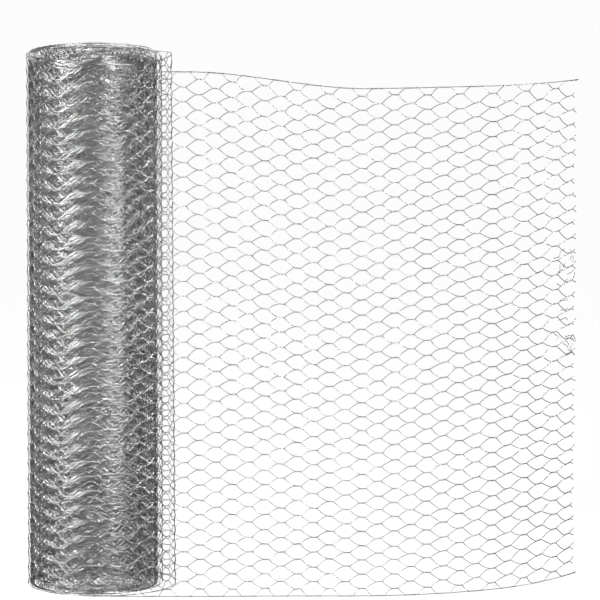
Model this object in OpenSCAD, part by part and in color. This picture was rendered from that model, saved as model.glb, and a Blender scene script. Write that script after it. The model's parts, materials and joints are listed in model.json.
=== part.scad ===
// A standing roll of galvanised hexagonal netting, with its free end drawn out to one side.
// Millimetres. The origin is on the floor in the middle of the bore and +Z is up.
// The viewer stands at -Y, and the free end leaves the near side of the roll towards +X.

/* [Netting] */
// Width of the netting as woven, which is the height of the standing roll
netting_w = 900; // [450:50:1200]
// Mesh: from one twist to the next one above it, sold as 25 mm
mesh = 25.7; // [20:0.1:50]
// Distance along the netting from one column of twists to the next
column_pitch = 27; // [24:0.5:54]
// Length of one twist
twist_l = 11; // [6:0.5:20]
// Thickness of a single wire
wire_d = 1.1; // [0.6:0.1:1.6]

/* [Roll] */
// Diameter over the tightly wound turns
tight_d = 216; // [120:1:320]
// How far the loose outer turns stand out from the tight ones
loose_room = 13; // [4:0.5:40]
// Diameter of the open middle
bore_d = 60; // [40:1:90]
// How many tightly wound turns show on each end
tight_turns = 18; // [8:1:24]
// How many loose turns lie round the tight ones
loose_turns = 2; // [1:1:3]
// Depth of the gaps between turns on each end
turn_gap_depth = 4; // [1:0.5:10]

/* [Free end] */
// From the line where the netting leaves the roll to its first column of twists
first_column = 6; // [0:0.5:20]
// Columns of twists in each of the three straight strips
strip_columns = 8; // [4:1:10]
// Columns of twists in the bent tip
tip_columns = 6; // [3:1:10]
// Length of the cut wire ends past the last twists
cut_l = 8; // [2:0.5:12]
// How far the tip turns away from the viewer, in degrees
tip_angle = 35; // [10:1:60]
// How far the lower corner of the tip is lifted off the floor
tip_lift = 30; // [0:1:80]
// Distance from the roll at which the lower edge starts to lift
lift_from = 400; // [100:10:600]
// How much lower the upper edge is where the netting leaves the roll
drop_at_roll = 13; // [0:1:30]
// How much lower it is where the netting is drawn out most
drop_middle = 42; // [20:1:60]
// How much lower it is at the cut end
drop_at_tip = 34; // [20:1:60]
// Distance from the roll at which the upper edge starts to go down
drop_from = 150; // [50:10:250]
// Distance from the roll at which it is lowest
drop_until = 450; // [300:10:600]
// Clearance between the roll and the netting that leaves it
seat_gap = 0.2; // [0.1:0.05:0.5]

/* [Output] */
// The sub-part to make

/* [Hidden] */
zinc = [0.62, 0.63, 0.63];
zinc_shade = [0.52, 0.53, 0.53];

// Two wires lie side by side in a twist and along each edge
twist_d = 2 * wire_d;
rows = round(netting_w / mesh);
row_pitch = (netting_w - twist_d) / rows;

// Half of one cell, on the centre lines of its wires
half_row = row_pitch / 2;
half_twist = twist_l / 2;
half_cell = column_pitch - half_twist;
slant_run = half_cell - half_twist;
slant_l = norm([slant_run, half_row]);
slant_inset = wire_d / 2 * slant_l / half_row;

// Turns on the ends of the roll
roll_d = tight_d + 2 * loose_room;
tight_pitch = (tight_d - bore_d) / 2 / tight_turns;
loose_pitch = loose_room / loose_turns;

// Lengths along the free end, from the line where it leaves the roll. A strip ends halfway between two columns.
strip_l = strip_columns * column_pitch;
middle_s = first_column + strip_l - column_pitch / 2;
far_s = middle_s + strip_l;
tip_s = far_s + strip_l;
end_s = tip_s + (tip_columns - 0.5) * column_pitch + half_twist + cut_l;
tip_r = (end_s - tip_s) / (tip_angle * PI / 180);
sheet_y = -(roll_d / 2 + seat_gap + wire_d / 2);

// Height of a point of the netting: drawing it out pulls its upper edge down, and its tip lifts
function ease(x) = let (t = min(max(x, 0), 1)) t * t * (3 - 2 * t);
function tip_share(s) = max(s - lift_from, 0) / (end_s - lift_from);
function foot(s) = tip_lift * pow(tip_share(s), 2);
function upper(s) =
    netting_w - drop_at_roll
    - (drop_middle - drop_at_roll) * ease((s - drop_from) / (drop_until - drop_from))
    + (drop_middle - drop_at_tip) * ease(tip_share(s));
function height(s, z) = foot(s) + z * (upper(s) - foot(s)) / netting_w;

// Distance to the right of a point of the netting, seen straight from the front
function tip_turn(s) = (s - tip_s) / tip_r * 180 / PI;
function across(s, bent) = bent ? tip_s + tip_r * sin(tip_turn(s)) : s;
function front_view(points, bent) = [for (p = points) [across(p[0], bent), height(p[0], p[1])]];

// Half the clear width of a cell at a height above or below its middle
function clear(z) = half_cell - slant_run * z / half_row - slant_inset;

// Open middle of a whole cell, and of the half cell next to an edge (side is 1 or -1)
function cell(s, z) =
    let (h = half_row - twist_d / 2, top = clear(h), mid = clear(0))
    [[s - top, z + h], [s + top, z + h], [s + mid, z],
     [s + top, z - h], [s - top, z - h], [s - mid, z]];
function edge_cell(s, z, side) =
    let (low = twist_d / 2, high = half_row - twist_d / 2)
    [[s - clear(low), z + side * low], [s + clear(low), z + side * low],
     [s + clear(high), z + side * high], [s - clear(high), z + side * high]];

// One side of a strip's outline, a point for every column
function edge_line(from_s, to_s, z) =
    let (steps = ceil((to_s - from_s) / column_pitch))
    [for (k = [0 : steps]) [from_s + (to_s - from_s) * k / steps, z]];
function backwards(points) = [for (k = [len(points) - 1 : -1 : 0]) points[k]];

// Flat pattern of the netting between two distances along it
module netting_pattern(from_s, to_s, bent = false) {
    first = floor((from_s - first_column) / column_pitch) - 1;
    last = ceil((to_s - first_column) / column_pitch) + 1;
    difference() {
        polygon(front_view(concat(edge_line(from_s, to_s, 0),
                                  backwards(edge_line(from_s, to_s, netting_w))), bent));
        for (column = [first : last]) {
            s = first_column + column * column_pitch;
            offset_rows = column % 2 == 0;
            for (row = [1 : offset_rows ? rows - 1 : rows])
                polygon(front_view(cell(s, twist_d / 2 + (row - (offset_rows ? 0 : 0.5)) * row_pitch), bent));
            if (offset_rows) {
                polygon(front_view(edge_cell(s, twist_d / 2, 1), bent));
                polygon(front_view(edge_cell(s, netting_w - twist_d / 2, -1), bent));
            }
        }
    }
}

// Netting pattern stood upright, with its thickness from the front of the sheet backwards
module upright(front_y, depth) {
    translate([0, front_y + depth, 0])
        rotate([90, 0, 0])
            linear_extrude(depth)
                children();
}

// Half section of the roll: each turn is a ridge on both ends
module roll_section() {
    union() {
        translate([bore_d / 2, turn_gap_depth])
            square([(roll_d - bore_d) / 2, netting_w - 2 * turn_gap_depth]);
        for (turn = [0 : tight_turns - 1])
            translate([bore_d / 2 + turn * tight_pitch, 0])
                square([twist_d, netting_w]);
        for (turn = [0 : loose_turns - 1])
            translate([roll_d / 2 - twist_d - turn * loose_pitch, 0])
                square([twist_d, netting_w]);
    }
}

// The wound netting, one turned solid round its open middle
module roll() {
    color(zinc_shade)
        rotate_extrude($fn = 96)
            roll_section();
}

// Free end, first strip: leaves the near side of the roll
module netting_at_roll() {
    color(zinc)
        upright(sheet_y - wire_d / 2, wire_d)
            netting_pattern(0, middle_s);
}

// Free end, second strip: runs straight on
module netting_middle() {
    color(zinc)
        upright(sheet_y - wire_d / 2, wire_d)
            netting_pattern(middle_s, far_s);
}

// Free end, third strip: still straight, and starts to lift
module netting_far() {
    color(zinc)
        upright(sheet_y - wire_d / 2, wire_d)
            netting_pattern(far_s, tip_s);
}

// Free end, last strip: bends away from the viewer and ends in cut wires
module netting_tip() {
    color(zinc)
        intersection() {
            translate([tip_s, sheet_y + tip_r, 0])
                rotate([0, 0, -90])
                    rotate_extrude(angle = tip_angle, $fn = 96)
                        translate([tip_r - wire_d / 2, -1])
                            square([wire_d, netting_w + tip_lift + 2]);
            upright(sheet_y - wire_d, tip_r)
                netting_pattern(tip_s - column_pitch / 4, end_s + column_pitch / 4, true);
        }
}

roll();
netting_at_roll();
netting_middle();
netting_far();
netting_tip();
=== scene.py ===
"""Roll of chicken wire: every wire of the netting is modelled, wound up and drawn out."""

import json
import math

import bpy
import numpy as np
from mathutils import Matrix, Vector


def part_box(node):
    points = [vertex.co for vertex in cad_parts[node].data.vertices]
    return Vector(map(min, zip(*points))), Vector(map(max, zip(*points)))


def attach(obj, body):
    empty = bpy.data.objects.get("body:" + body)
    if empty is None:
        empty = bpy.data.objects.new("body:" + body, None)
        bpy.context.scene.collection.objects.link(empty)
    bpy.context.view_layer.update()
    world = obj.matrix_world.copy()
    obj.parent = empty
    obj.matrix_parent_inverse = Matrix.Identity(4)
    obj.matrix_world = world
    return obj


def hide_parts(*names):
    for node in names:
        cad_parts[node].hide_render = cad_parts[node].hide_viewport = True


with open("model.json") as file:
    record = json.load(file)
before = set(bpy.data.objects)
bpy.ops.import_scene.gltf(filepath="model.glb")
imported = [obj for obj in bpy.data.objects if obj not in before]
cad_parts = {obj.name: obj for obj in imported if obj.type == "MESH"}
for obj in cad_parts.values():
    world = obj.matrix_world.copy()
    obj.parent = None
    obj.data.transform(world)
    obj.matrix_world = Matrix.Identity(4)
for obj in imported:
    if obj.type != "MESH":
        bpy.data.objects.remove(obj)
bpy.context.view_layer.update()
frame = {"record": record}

# Netting, in metres, at the sizes of the CAD model
ROWS = 35
COLUMN_PITCH = 0.027
FIRST_COLUMN = 0.006
FREE_COLUMNS = 30
TWIST_L = 0.011
EDGE_TWIST_L = 0.022
TWIST_TURNS = 2
EDGE_TWIST_TURNS = 3
WIRE_R = 0.00055

# How far a slant bows from a straight line, as a share of its rise
SLANT_BEND = 0.10

# Wires cut off past the last twists: the longest, the shortest as a share of it, and how far they stray
CUT_L = 0.008
CUT_SHORTEST = 0.4
CUT_STRAY = 0.2
CUT_SEED = 9
STRAY_SEED = 10

# Roll and free end, read from the CAD nodes
roll_low, roll_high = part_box("roll")
far_low, far_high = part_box("netting_far")
ROLL_H = roll_high[2] - roll_low[2]
BORE_R = frame["record"]["mounts"][0]["dims"]["r_mm"] / 1000
SHEET_Y = (far_low[1] + far_high[1]) / 2
TIP_S = far_high[0]
TIP_ANGLE = math.radians(35)
END_S = FIRST_COLUMN + (FREE_COLUMNS - 1) * COLUMN_PITCH + TWIST_L / 2 + CUT_L
TIP_R = (END_S - TIP_S) / TIP_ANGLE
TIP_LIFT = 0.030
LIFT_FROM = 0.40

# Slope of a slant, which the cut wires follow
SLANT_SLOPE = ROLL_H / (2 * ROWS) / (COLUMN_PITCH - TWIST_L)

# How much lower the upper edge is: at the roll, in the middle of the free end and at its tip,
# and the stretch of the free end over which it goes down
DROP_AT_ROLL = 0.013
DROP_MIDDLE = 0.042
DROP_AT_TIP = 0.034
DROP_FROM = 0.15
DROP_OVER = 0.30

# Shape of the wound turns, counted inwards from where the free end leaves the roll: turn, radius,
# how far the turn's middle lies to the right of the bore, and how much lower its upper edge is
WOUND = np.array([
    (0.00, -SHEET_Y, 0.0, DROP_AT_ROLL),
    (0.25, 0.1215, 0.0, 0.003),
    (0.50, 0.1205, 0.0, 0.010),
    (0.63, 0.1200, 0.0, 0.010),
    (0.75, 0.1192, 0.0, 0.001),
    (1.00, 0.1165, -0.0025, 0.004),
    (1.25, 0.1140, -0.0045, 0.004),
    (1.75, 0.1110, -0.0075, 0.010),
    (2.25, 0.1080, -0.0095, 0.003),
    (2.75, 0.1065, -0.0110, 0.003),
    (6.00, 0.1030, -0.0115, 0.004),
    (10.0, 0.0850, -0.0080, 0.004),
    (20.0, BORE_R + 2 * WIRE_R, 0.0, 0.004),
])
ROLL_TURNS = WOUND[-1, 0]

# The spiral is worked out in so many steps, and its corners are rounded off over a few of them
TURN_STEPS = 8000
EASE_STEPS = 30

# The outer turns nest: each has the same even number of columns. By so many columns the turns swing
# to and fro of each other, so many times a turn, and drift apart further in.
NEST_TURNS = 6.5
NEST_COLUMNS = 26
NEST_SWING = 0.42
NEST_BEAT = 0.37
NEST_DRIFT = 0.16
DRIFT_FROM = 4

# Unevenness of the wound turns, in metres: out of round, slipped up from the floor, and an upper edge
# that stands higher or lower and ripples, but never lower than a set place
OUT_OF_ROUND = 0.0006
SLIP_UP = 0.0015
EDGE_SLIP = 0.006
EDGE_RIPPLE = 0.001
EDGE_LOWEST = -0.004

# Where that sets in: the turns over which the roll gets out of round, the turn from which turns slip
# and over how many, and the share of the netting's width above which its upper edge is bent
ROUND_FADE = 1 / 3
UNEVEN_FROM = 1
UNEVEN_OVER = 1.5
EDGE_FROM = 0.85

# Random waves along the turns: how quick they are, the number of sines in them, and the seed
WAVES = {
    "out_of_round": (5, 4, 3),
    "slip_up": (0.8, 3, 12),
    "edge_slip": (3.1, 4, 14),
    "edge_ripple": (17, 3, 13),
}
SINE_PACE = (0.6, 2.6)

# The outer loose turn leans on its right side: it stands further out at the floor than at the top.
# The lean starts and ends at these turns, and fades over a part of one.
LEAN_FOOT = 0.0072
LEAN_TOP = 0.0023
LEAN_FROM = 0.4
LEAN_UNTIL = 1.3
LEAN_FADE = 0.3

# The free end bulges in and out and sags in slow waves: radians a metre along it, radians from its
# lower to its upper edge, and where the wave starts
SHEET_BULGE = 0.002
BULGE_WAVE = (13, 5, 0)
SHEET_SAG = 0.0018
SAG_WAVE = (17, 7, 1)
WAVE_FADE = 0.15

# Towards the tip the netting is pulled askew: in every other column the twists tilt and sit lower
SKEW_FROM = 0.40
SKEW_OVER = 0.35
SKEW_TILT = 0.20
SKEW_DROP = 0.003

# Small irregularities: a twist lies off its place along and across the netting and tilts, and a slant bows
TWIST_OFF_S = 0.0007
TWIST_OFF_W = 0.0006
TWIST_TILT = 0.05
SLANT_BOW = 0.0005
IRREGULAR_SEED = 7

# Steps of a twist and of a slant. The two wires of a twist wind round each other in a sheet or a helix.
# Crossed wires go to and fro, one behind the other, and stacked ones only lie one behind the other.
STYLES = {"sheet": (10, 3), "helix": (8, 1), "crossed": (4, 1), "stacked": (1, 1)}
SHEET_SIDES = 4

# Pieces of the roll from the outside in: last turn, style of the twists, sides of a wire
ROLL_PIECES = [
    ("outer_turn", 1.0, "helix", 4),
    ("second_turns", 2.9, "helix", 3),
    ("middle_turns_a", 5.5, "crossed", 3),
    ("middle_turns_b", 8.5, "crossed", 3),
    ("inner_turns_a", 13.0, "stacked", 3),
    ("inner_turns_b", ROLL_TURNS, "stacked", 3),
]

# Loose wire ends caught in the tip, each by its bends: distance back from the cut end, and height,
# both in millimetres. Each one rises off the netting in part of an arch.
LOOSE_ENDS = [
    [(44, 569), (36, 571), (34, 581), (25, 583)],
    [(13, 581), (13, 572), (15, 564)],
    [(32, 557), (38, 545)],
    [(23, 559), (36, 545)],
    [(8, 569), (11, 561)],
    [(38, 527), (34, 523), (19, 533)],
    [(19, 540), (8, 547)],
    [(4, 542), (11, 532)],
    [(32, 498), (19, 498)],
    [(30, 481), (19, 484)],
    [(34, 464), (23, 469), (19, 464)],
    [(42, 443), (36, 437), (40, 431)],
    [(21, 437), (6, 428)],
    [(17, 437), (6, 437), (3, 428), (15, 418), (11, 411), (4, 403)],
    [(25, 425), (17, 418)],
    [(21, 430), (15, 421)],
    [(19, 404), (11, 409), (19, 416)],
]
LOOSE_STEPS = 12
LOOSE_RISE = 0.005
LOOSE_ARCH = 0.8

# Camera: a long lens, a little above the object
CAMERA_ELEVATION = math.radians(10)
CAMERA_DISTANCE = 20.0
METRES_A_PIXEL = 0.0016705
PHOTO_SIZE = 600
PHOTO_AXIS_X = 100
PHOTO_TOP_Y = 53

# Studio: softboxes by place, degrees that the grid lets through and power, and the floor and world
# that show white behind the object
SOFTBOX_SIZE = 0.8
SOFTBOXES = {
    "left": ((-1.7, -1.5, 1.3), 60, 11),
    "right": ((1.5, -1.7, 1.4), 50, 7),
    "back": ((-1.4, 1.9, 1.5), 45, 1.5),
}
FLOOR_SIZE = 60
FLOOR_GAP = 0.0004
FLOOR_BEHIND = 0.5
WORLD_BEHIND = 0.9


def smooth(x):
    """Ease from 0 to 1 as x goes from 0 to 1."""
    x = np.clip(x, 0, 1)
    return x * x * (3 - 2 * x)


def waves(turns, kind):
    """A gentle random wave along the turns, between about -1 and 1, from a few sines."""
    pace, count, seed = WAVES[kind]
    rng = np.random.default_rng(seed)
    total = np.zeros_like(turns)
    for _ in range(count):
        total += np.sin(turns * pace * rng.uniform(*SINE_PACE) + rng.uniform(0, 2 * math.pi))
    return total / math.sqrt(count)


def eased(values):
    """The same values with their corners rounded off."""
    window = np.hanning(2 * EASE_STEPS + 1)
    return np.convolve(np.pad(values, EASE_STEPS, mode="edge"), window / window.sum(), mode="valid")


# Spiral of the roll against turns: radius, middle and drop of the upper edge
turn_grid = np.linspace(0, ROLL_TURNS, TURN_STEPS + 1)
wound_r = eased(np.interp(turn_grid, WOUND[:, 0], WOUND[:, 1]))
wound_x = eased(np.interp(turn_grid, WOUND[:, 0], WOUND[:, 2]))
wound_drop = np.interp(turn_grid, WOUND[:, 0], WOUND[:, 3])
round_fade = smooth(turn_grid / ROUND_FADE) * smooth(ROLL_TURNS - turn_grid)
wound_r += OUT_OF_ROUND * waves(turn_grid, "out_of_round") * round_fade

# Length of netting wound up so far, from the columns in each turn
natural_columns = 2 * math.pi * wound_r / COLUMN_PITCH
columns_a_turn = np.where(turn_grid < NEST_TURNS, NEST_COLUMNS, 2 * np.round(natural_columns / 2))
column_step = np.diff(turn_grid) * (columns_a_turn[1:] + columns_a_turn[:-1]) / 2
nest_swing = NEST_SWING * np.sin(2 * math.pi * NEST_BEAT * turn_grid)
nest_shift = nest_swing + NEST_DRIFT * np.maximum(turn_grid - DRIFT_FROM, 0)
wound_l = COLUMN_PITCH * (np.concatenate([[0], np.cumsum(column_step)]) + nest_shift)
ROLL_COLUMNS = int((wound_l[-1] + FIRST_COLUMN) / COLUMN_PITCH)

# Irregularities of every twist and every slant, the same wherever a piece is cut
WIRES = np.arange(-1, 2 * ROWS + 1)[:, None]
TWIST_GRID = (2 * ROWS + 1, ROLL_COLUMNS + FREE_COLUMNS + 1)
SLANT_GRID = (len(WIRES), TWIST_GRID[1])
irregular = np.random.default_rng(IRREGULAR_SEED)
twist_s = TWIST_OFF_S * irregular.standard_normal(TWIST_GRID)
twist_w = TWIST_OFF_W * irregular.standard_normal(TWIST_GRID)
twist_tilt = TWIST_TILT * irregular.standard_normal(TWIST_GRID)
bow_w = SLANT_BOW * irregular.standard_normal(SLANT_GRID)
bow_n = SLANT_BOW * irregular.standard_normal(SLANT_GRID)
for table in (twist_w, twist_tilt, bow_w):
    table[[0, -1]] = 0


def turns_at(s):
    """Turns of the roll passed at a distance s along the netting, which is below 0 in the roll."""
    return np.interp(-s, wound_l, turn_grid)


def column_at(turn):
    """The column of twists nearest to a turn of the roll, counted backwards from the free end."""
    return -int(np.interp(turn, turn_grid, wound_l) / COLUMN_PITCH)


def turn_rise(turns):
    """How far a turn stands above the floor: the inner turns have slipped up a little."""
    return SLIP_UP * (1 + waves(turns, "slip_up")) * smooth((turns - UNEVEN_FROM) / UNEVEN_OVER)


def edge_lift(turns, w):
    """How far the upper edge of a wound turn is bent up, which fades out within a few cells."""
    slip = EDGE_SLIP * waves(turns, "edge_slip") + EDGE_RIPPLE * waves(turns, "edge_ripple")
    lift = DROP_AT_ROLL - np.interp(turns, turn_grid, wound_drop)
    lift = lift + slip * smooth((turns - UNEVEN_FROM) / UNEVEN_OVER)
    return np.clip(lift, EDGE_LOWEST, DROP_AT_ROLL) * smooth((w - EDGE_FROM) / (1 - EDGE_FROM))


def lean(turns, w):
    """How far the loose outer turn is shifted to the right, which is most at the floor."""
    shift = LEAN_FOOT + (LEAN_TOP - LEAN_FOOT) * w
    return shift * smooth((turns - LEAN_FROM) / LEAN_FADE) * smooth((LEAN_UNTIL - turns) / LEAN_FADE)


def sheet_wave(wave, s, w):
    """A slow wave over the free end, which fades in where the netting leaves the roll."""
    along, across, start = wave
    return np.sin(along * s + across * w + start) * smooth(s / WAVE_FADE)


def netting_top(s):
    """Height of the netting's upper edge, which is pulled down where the netting is drawn out."""
    drop = DROP_AT_ROLL + (DROP_MIDDLE - DROP_AT_ROLL) * smooth((s - DROP_FROM) / DROP_OVER)
    return ROLL_H - drop - (DROP_AT_TIP - DROP_MIDDLE) * smooth((s - LIFT_FROM) / (END_S - LIFT_FROM))


def netting_foot(s):
    """Height of the netting's lower edge, which lifts off the floor towards the tip."""
    lift = TIP_LIFT * (np.maximum(s - LIFT_FROM, 0) / (END_S - LIFT_FROM)) ** 2
    return np.where(s < 0, turn_rise(turns_at(s)), lift)


def place(s, w, n):
    """Points at distances s along, w across (0 to 1) and n out from the netting, and the normals there."""
    arc = np.maximum(s - TIP_S, 0) / TIP_R
    free_x = np.minimum(s, TIP_S) + TIP_R * np.sin(arc)
    free_y = SHEET_Y + TIP_R * (1 - np.cos(arc))
    turns = turns_at(s)
    angle = -math.pi / 2 - 2 * math.pi * turns
    radius = np.interp(turns, turn_grid, wound_r)
    middle_x = np.interp(turns, turn_grid, wound_x)
    wound = s < 0
    normal_x = np.where(wound, np.cos(angle), np.sin(arc))
    normal_y = np.where(wound, np.sin(angle), -np.cos(arc))
    n = n + np.where(wound, 0, SHEET_BULGE * sheet_wave(BULGE_WAVE, s, w))
    x = np.where(wound, middle_x + radius * np.cos(angle) + lean(turns, w), free_x) + n * normal_x
    y = np.where(wound, radius * np.sin(angle), free_y) + n * normal_y
    foot = netting_foot(s)
    z = foot + 2 * WIRE_R + (netting_top(s) - foot - 4 * WIRE_R) * w
    sag = SHEET_SAG * sheet_wave(SAG_WAVE, s, w) * np.sin(math.pi * np.clip(w, 0, 1))
    z = z + np.where(wound, edge_lift(turns, w), sag)
    normals = np.stack([normal_x, normal_y, np.zeros_like(normal_x)], axis=-1)
    return np.stack([x, y, z], axis=-1), normals


def lattice(columns):
    """The twist of each wire in each column: its level, the wire's side in it, and if it is on an edge."""
    level = WIRES + (WIRES + columns + 1) % 2
    member = np.where(level == WIRES, 1.0, -1.0)
    edge_column = columns % 2 == 1
    level[0] = 0
    level[-1] = 2 * ROWS
    member[0] = np.where(edge_column, -1.0, 0.0)
    member[-1] = np.where(edge_column, 1.0, 0.0)
    on_edge = (level == 0) | (level == 2 * ROWS)
    return level, member, on_edge


def with_slants(twists, steps, columns):
    """One path (s, w, n) for each wire, with slants that bow a little from each twist to the next."""
    g = np.arange(1, steps) / steps
    swell = np.sin(math.pi * g)
    bow_at = (WIRES + 1, columns[:-1] + ROLL_COLUMNS)
    shares = (g, g + SLANT_BEND * swell, g)
    bows = (0, bow_w[bow_at][..., None] * swell / ROLL_H, bow_n[bow_at][..., None] * swell)
    paths = []
    for twist, share, bow in zip(twists, shares, bows):
        start = twist[:, :-1, -1:]
        slant = start + (twist[:, 1:, :1] - start) * share + bow
        run = np.concatenate([twist[:, :-1], slant], axis=2).reshape(len(WIRES), -1)
        paths.append(np.concatenate([run, twist[:, -1]], axis=1))
    return paths


def cut_ends(column):
    """The short end of each wire past its twist in the last column: how far it goes along, across and out."""
    level, member, on_edge = lattice(np.array([column]))
    next_level, _, _ = lattice(np.array([column + 1]))
    way = np.where(on_edge & (member != 0), 0, next_level - level)
    reach = np.random.default_rng(CUT_SEED).uniform(CUT_SHORTEST, 1.0, len(WIRES))[:, None]
    middle_and_end = np.array([0.5, 1.0])
    length = CUT_L * reach * middle_and_end
    stray = CUT_STRAY * np.random.default_rng(STRAY_SEED).standard_normal(len(WIRES))[:, None]
    rise = length * (SLANT_SLOPE * way + stray * (way != 0)) / ROLL_H
    return length, rise, length * stray


def wire_paths(first, last, style, whole_start):
    """Paths (s, w, n) of all wires between two columns. The first and the last wire are the edge wires."""
    twist_steps, slant_steps = STYLES[style]
    columns = np.arange(first, last + 1)
    level, member, on_edge = lattice(columns)
    half_l = np.where(on_edge, EDGE_TWIST_L, TWIST_L) / 2
    turn_count = np.where(on_edge, EDGE_TWIST_TURNS, TWIST_TURNS)
    at = (level, columns + ROLL_COLUMNS)
    mid_s = FIRST_COLUMN + columns * COLUMN_PITCH + twist_s[at]
    skew = np.where(on_edge, 0, columns % 2 * smooth((mid_s - SKEW_FROM) / SKEW_OVER))
    tilt = twist_tilt[at] + SKEW_TILT * skew
    mid_w = level / (2 * ROWS) + (twist_w[at] - SKEW_DROP * skew) / ROLL_H
    f = np.linspace(0, 1, twist_steps + 1)
    along = (2 * f - 1) * half_l[:, :, None]
    sense = np.where(columns % 2 == 0, 1.0, -1.0)[None, :, None]
    turn = sense * 2 * math.pi * turn_count[:, :, None] * f
    s = mid_s[:, :, None] + along
    w = mid_w[:, :, None] + along * tilt[:, :, None] / ROLL_H
    side = member[:, :, None] * WIRE_R
    n = side + 0 * along
    if style != "stacked":
        w = w + side * np.cos(turn) / ROLL_H
    if style in ("sheet", "helix"):
        n = side * np.sin(turn)
    paths = with_slants((s, w, n), slant_steps, columns)
    if last == FREE_COLUMNS - 1:
        ends = cut_ends(last)
        paths = [np.concatenate([path, path[:, -1:] + end], axis=1) for path, end in zip(paths, ends)]
    skip = 0 if whole_start else twist_steps
    return [path[:, skip:] for path in paths]


def loose_paths():
    """Paths (s, w, n) of the loose wire ends, which start on the netting and stand a little off it."""
    step = np.linspace(0, 1, LOOSE_STEPS)
    back = []
    height = []
    for bends in LOOSE_ENDS:
        bend_back, bend_height = np.array(bends).T / 1000
        bend_step = np.linspace(0, 1, len(bends))
        back.append(np.interp(step, bend_step, bend_back))
        height.append(np.interp(step, bend_step, bend_height))
    s = END_S - np.array(back)
    foot = netting_foot(s)
    w = (np.array(height) - foot - 2 * WIRE_R) / (netting_top(s) - foot - 4 * WIRE_R)
    n = WIRE_R + LOOSE_RISE * np.sin(LOOSE_ARCH * math.pi * step) + 0 * s
    return s, w, n


def tube_mesh(name, points, normals, sides):
    """One mesh of round tubes, a tube for each row of points, closed at both ends."""
    tubes, steps = points.shape[:2]
    tangent = np.gradient(points, axis=1)
    tangent /= np.linalg.norm(tangent, axis=-1, keepdims=True)
    across = np.cross(tangent, normals)
    across /= np.linalg.norm(across, axis=-1, keepdims=True)
    out = np.cross(across, tangent)
    angle = 2 * math.pi * np.arange(sides) / sides
    ring = np.cos(angle)[:, None] * across[:, :, None, :] + np.sin(angle)[:, None] * out[:, :, None, :]
    even_width = math.pi / (sides * math.sin(math.pi / sides))
    verts = (points[:, :, None, :] + WIRE_R * even_width * ring).reshape(-1, 3)
    start = (np.arange(tubes)[:, None, None] * steps + np.arange(steps - 1)[None, :, None]) * sides
    k = np.arange(sides)
    k_next = (k + 1) % sides
    corners = [start + k, start + k_next, start + sides + k_next, start + sides + k]
    quads = np.stack(corners, axis=-1).reshape(-1)
    first_ring = (np.arange(tubes)[:, None] * steps) * sides + k[::-1]
    last_ring = (np.arange(tubes)[:, None] * steps + steps - 1) * sides + k
    caps = np.concatenate([first_ring, last_ring]).reshape(-1)
    loops = np.concatenate([quads, caps]).astype(np.int32)
    quad_count = tubes * (steps - 1) * sides
    sizes = np.concatenate([np.full(quad_count, 4), np.full(2 * tubes, sides)]).astype(np.int32)
    loop_start = np.concatenate([[0], np.cumsum(sizes)[:-1]]).astype(np.int32)
    mesh = bpy.data.meshes.new(name)
    mesh.vertices.add(len(verts))
    mesh.vertices.foreach_set("co", verts.astype(np.float32).reshape(-1))
    mesh.loops.add(len(loops))
    mesh.loops.foreach_set("vertex_index", loops)
    mesh.polygons.add(len(sizes))
    mesh.polygons.foreach_set("loop_start", loop_start)
    mesh.polygons.foreach_set("use_smooth", np.ones(len(sizes), dtype=bool))
    mesh.update(calc_edges=True)
    mesh.validate()
    return mesh


def add_wires(name, paths, sides, nodes):
    """Make wires along their paths as one piece that stands for the CAD nodes."""
    points, normals = place(*paths)
    piece = bpy.data.objects.new(name, tube_mesh(name, points, normals, sides))
    bpy.context.collection.objects.link(piece)
    piece.data.materials.append(zinc)
    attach(piece, "root")
    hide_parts(*nodes)


def add_free_end():
    """The drawn-out netting in two pieces, and the loose wire ends in its tip."""
    cut = FREE_COLUMNS // 2
    near_paths = wire_paths(0, cut, "sheet", False)
    far_paths = wire_paths(cut, FREE_COLUMNS - 1, "sheet", False)
    add_wires("free_netting_near", near_paths, SHEET_SIDES, ["netting_at_roll", "netting_middle"])
    add_wires("free_netting_far", far_paths, SHEET_SIDES, ["netting_far", "netting_tip"])
    add_wires("loose_ends", loose_paths(), SHEET_SIDES, ["netting_tip"])


def add_roll():
    """The wound netting, piece by piece from the outside in."""
    outer_end = 0
    for name, last_turn, style, sides in ROLL_PIECES:
        innermost = last_turn == ROLL_TURNS
        inner_end = 1 - ROLL_COLUMNS if innermost else column_at(last_turn)
        add_wires(name, wire_paths(inner_end, outer_end, style, innermost), sides, ["roll"])
        outer_end = inner_end


def grey(level):
    """An opaque grey."""
    return (level, level, level, 1)


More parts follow.
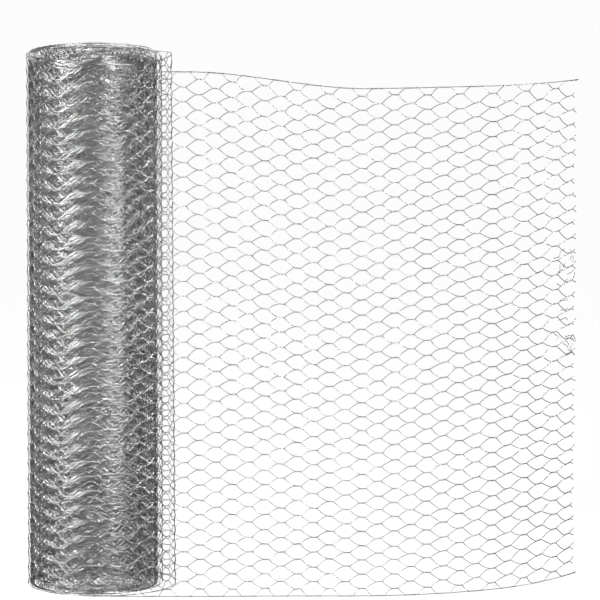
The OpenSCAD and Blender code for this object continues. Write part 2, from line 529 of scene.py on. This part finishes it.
def zinc_material():
    """Dull galvanised wire: a zinc spangle, patchy oxide and a slightly uneven skin."""
    material = bpy.data.materials.new("galvanised_zinc")
    material.use_nodes = True
    nodes = material.node_tree.nodes
    links = material.node_tree.links
    shader = nodes["Principled BSDF"]
    shader.inputs["Metallic"].default_value = 1.0
    coords = nodes.new("ShaderNodeTexCoord")
    spangle = nodes.new("ShaderNodeTexVoronoi")
    spangle.inputs["Scale"].default_value = 260
    oxide = nodes.new("ShaderNodeTexNoise")
    oxide.inputs["Scale"].default_value = 38
    oxide.inputs["Detail"].default_value = 5
    links.new(coords.outputs["Object"], spangle.inputs["Vector"])
    links.new(coords.outputs["Object"], oxide.inputs["Vector"])
    tone = nodes.new("ShaderNodeValToRGB")
    tone.color_ramp.elements[0].position = 0.3
    tone.color_ramp.elements[0].color = (0.44, 0.45, 0.45, 1)
    tone.color_ramp.elements[1].position = 0.7
    tone.color_ramp.elements[1].color = (0.68, 0.69, 0.69, 1)
    links.new(oxide.outputs["Fac"], tone.inputs["Fac"])
    fleck = nodes.new("ShaderNodeMix")
    fleck.data_type = "RGBA"
    fleck.blend_type = "MULTIPLY"
    fleck.inputs["Factor"].default_value = 0.3
    links.new(tone.outputs["Color"], fleck.inputs["A"])
    links.new(spangle.outputs["Color"], fleck.inputs["B"])
    muted = nodes.new("ShaderNodeHueSaturation")
    muted.inputs["Saturation"].default_value = 0.12
    links.new(fleck.outputs["Result"], muted.inputs["Color"])
    links.new(muted.outputs["Color"], shader.inputs["Base Color"])
    rough = nodes.new("ShaderNodeMapRange")
    rough.inputs["To Min"].default_value = 0.26
    rough.inputs["To Max"].default_value = 0.38
    links.new(oxide.outputs["Fac"], rough.inputs["Value"])
    links.new(rough.outputs["Result"], shader.inputs["Roughness"])
    skin = nodes.new("ShaderNodeBump")
    skin.inputs["Strength"].default_value = 0.25
    skin.inputs["Distance"].default_value = 0.0002
    links.new(spangle.outputs["Distance"], skin.inputs["Height"])
    links.new(skin.outputs["Normal"], shader.inputs["Normal"])
    return material


def math_node(tree, operation, first, second):
    """Output of a node that works on two values, each a number or the output of another node."""
    node = tree.nodes.new("ShaderNodeMath")
    node.operation = operation
    for socket, value in zip(node.inputs, (first, second)):
        if isinstance(value, float):
            socket.default_value = value
        else:
            tree.links.new(value, socket)
    return node.outputs["Value"]


def shows_backdrop(tree, where, from_y):
    """1 for what the eye sees, and for what is mirrored or seen through of the part beyond from_y."""
    path = tree.nodes.new("ShaderNodeLightPath").outputs
    parts = tree.nodes.new("ShaderNodeSeparateXYZ")
    tree.links.new(where, parts.inputs["Vector"])
    behind = math_node(tree, "GREATER_THAN", parts.outputs["Y"], from_y)
    mirrored = math_node(tree, "MAXIMUM", path["Is Glossy Ray"], path["Is Transmission Ray"])
    in_metal = math_node(tree, "MULTIPLY", behind, mirrored)
    return math_node(tree, "MAXIMUM", in_metal, path["Is Camera Ray"])


def add_floor():
    """Pale floor that shows white to the eye, and behind the object to metal too, and keeps a soft shadow."""
    bpy.ops.mesh.primitive_plane_add(size=FLOOR_SIZE, location=(0, 0, -FLOOR_GAP))
    floor = bpy.context.object
    floor.name = "floor"
    material = bpy.data.materials.new("pale_floor")
    material.use_nodes = True
    tree = material.node_tree
    nodes = tree.nodes
    links = tree.links
    nodes.clear()
    output = nodes.new("ShaderNodeOutputMaterial")
    plain = nodes.new("ShaderNodeBsdfDiffuse")
    plain.inputs["Color"].default_value = grey(0.16)
    shaded = nodes.new("ShaderNodeBsdfDiffuse")
    shaded.inputs["Color"].default_value = grey(0.15)
    glow = nodes.new("ShaderNodeEmission")
    glow.inputs["Strength"].default_value = 0.97
    white = nodes.new("ShaderNodeAddShader")
    links.new(shaded.outputs["BSDF"], white.inputs[0])
    links.new(glow.outputs["Emission"], white.inputs[1])
    mix = nodes.new("ShaderNodeMixShader")
    point = nodes.new("ShaderNodeNewGeometry")
    links.new(shows_backdrop(tree, point.outputs["Position"], FLOOR_BEHIND), mix.inputs["Fac"])
    links.new(plain.outputs["BSDF"], mix.inputs[1])
    links.new(white.outputs["Shader"], mix.inputs[2])
    links.new(mix.outputs["Shader"], output.inputs["Surface"])
    floor.data.materials.append(material)


def add_world():
    """White to the eye, a white backdrop behind the object to metal, and a soft grey room to the rest."""
    world = bpy.data.worlds.new("studio")
    bpy.context.scene.world = world
    world.use_nodes = True
    tree = world.node_tree
    nodes = tree.nodes
    links = tree.links
    nodes.clear()
    output = nodes.new("ShaderNodeOutputWorld")
    room = nodes.new("ShaderNodeBackground")
    room.inputs["Color"].default_value = grey(0.5)
    room.inputs["Strength"].default_value = 0.06
    white = nodes.new("ShaderNodeBackground")
    white.inputs["Color"].default_value = grey(1)
    mix = nodes.new("ShaderNodeMixShader")
    way = nodes.new("ShaderNodeTexCoord")
    links.new(shows_backdrop(tree, way.outputs["Generated"], WORLD_BEHIND), mix.inputs["Fac"])
    links.new(room.outputs["Background"], mix.inputs[1])
    links.new(white.outputs["Background"], mix.inputs[2])
    links.new(mix.outputs["Shader"], output.inputs["Surface"])


def add_softbox(name, place_at, grid, power):
    """A square studio softbox aimed at the middle of the roll, with a grid that narrows its light."""
    light = bpy.data.lights.new(name, "AREA")
    light.size = SOFTBOX_SIZE
    light.spread = math.radians(grid)
    light.energy = power
    holder = bpy.data.objects.new(name, light)
    holder.location = place_at
    aim = Vector((0, 0, ROLL_H / 2)) - Vector(place_at)
    holder.rotation_euler = aim.to_track_quat("-Z", "Y").to_euler()
    bpy.context.collection.objects.link(holder)


def add_camera():
    """Camera on the photograph's line of sight."""
    floor_y = PHOTO_TOP_Y + ROLL_H * math.cos(CAMERA_ELEVATION) / METRES_A_PIXEL
    aim_x = (PHOTO_SIZE / 2 - PHOTO_AXIS_X) * METRES_A_PIXEL
    aim_z = (floor_y - PHOTO_SIZE / 2) * METRES_A_PIXEL / math.cos(CAMERA_ELEVATION)
    aim = Vector((aim_x, 0, aim_z))
    back = Vector((0, -math.cos(CAMERA_ELEVATION), math.sin(CAMERA_ELEVATION)))
    camera = bpy.data.cameras.new("camera")
    camera.sensor_width = 36
    camera.sensor_height = 36
    camera.sensor_fit = "HORIZONTAL"
    camera.lens = camera.sensor_width * CAMERA_DISTANCE / (PHOTO_SIZE * METRES_A_PIXEL)
    camera.clip_end = 200
    holder = bpy.data.objects.new("camera", camera)
    holder.location = aim + CAMERA_DISTANCE * back
    holder.rotation_euler = (-back).to_track_quat("-Z", "Y").to_euler()
    bpy.context.collection.objects.link(holder)
    bpy.context.scene.camera = holder


zinc = zinc_material()
add_free_end()
add_roll()
add_floor()
add_world()
for name, (place_at, grid, power) in SOFTBOXES.items():
    add_softbox(name, place_at, grid, power)
add_camera()
bpy.context.scene.view_settings.view_transform = "Standard"
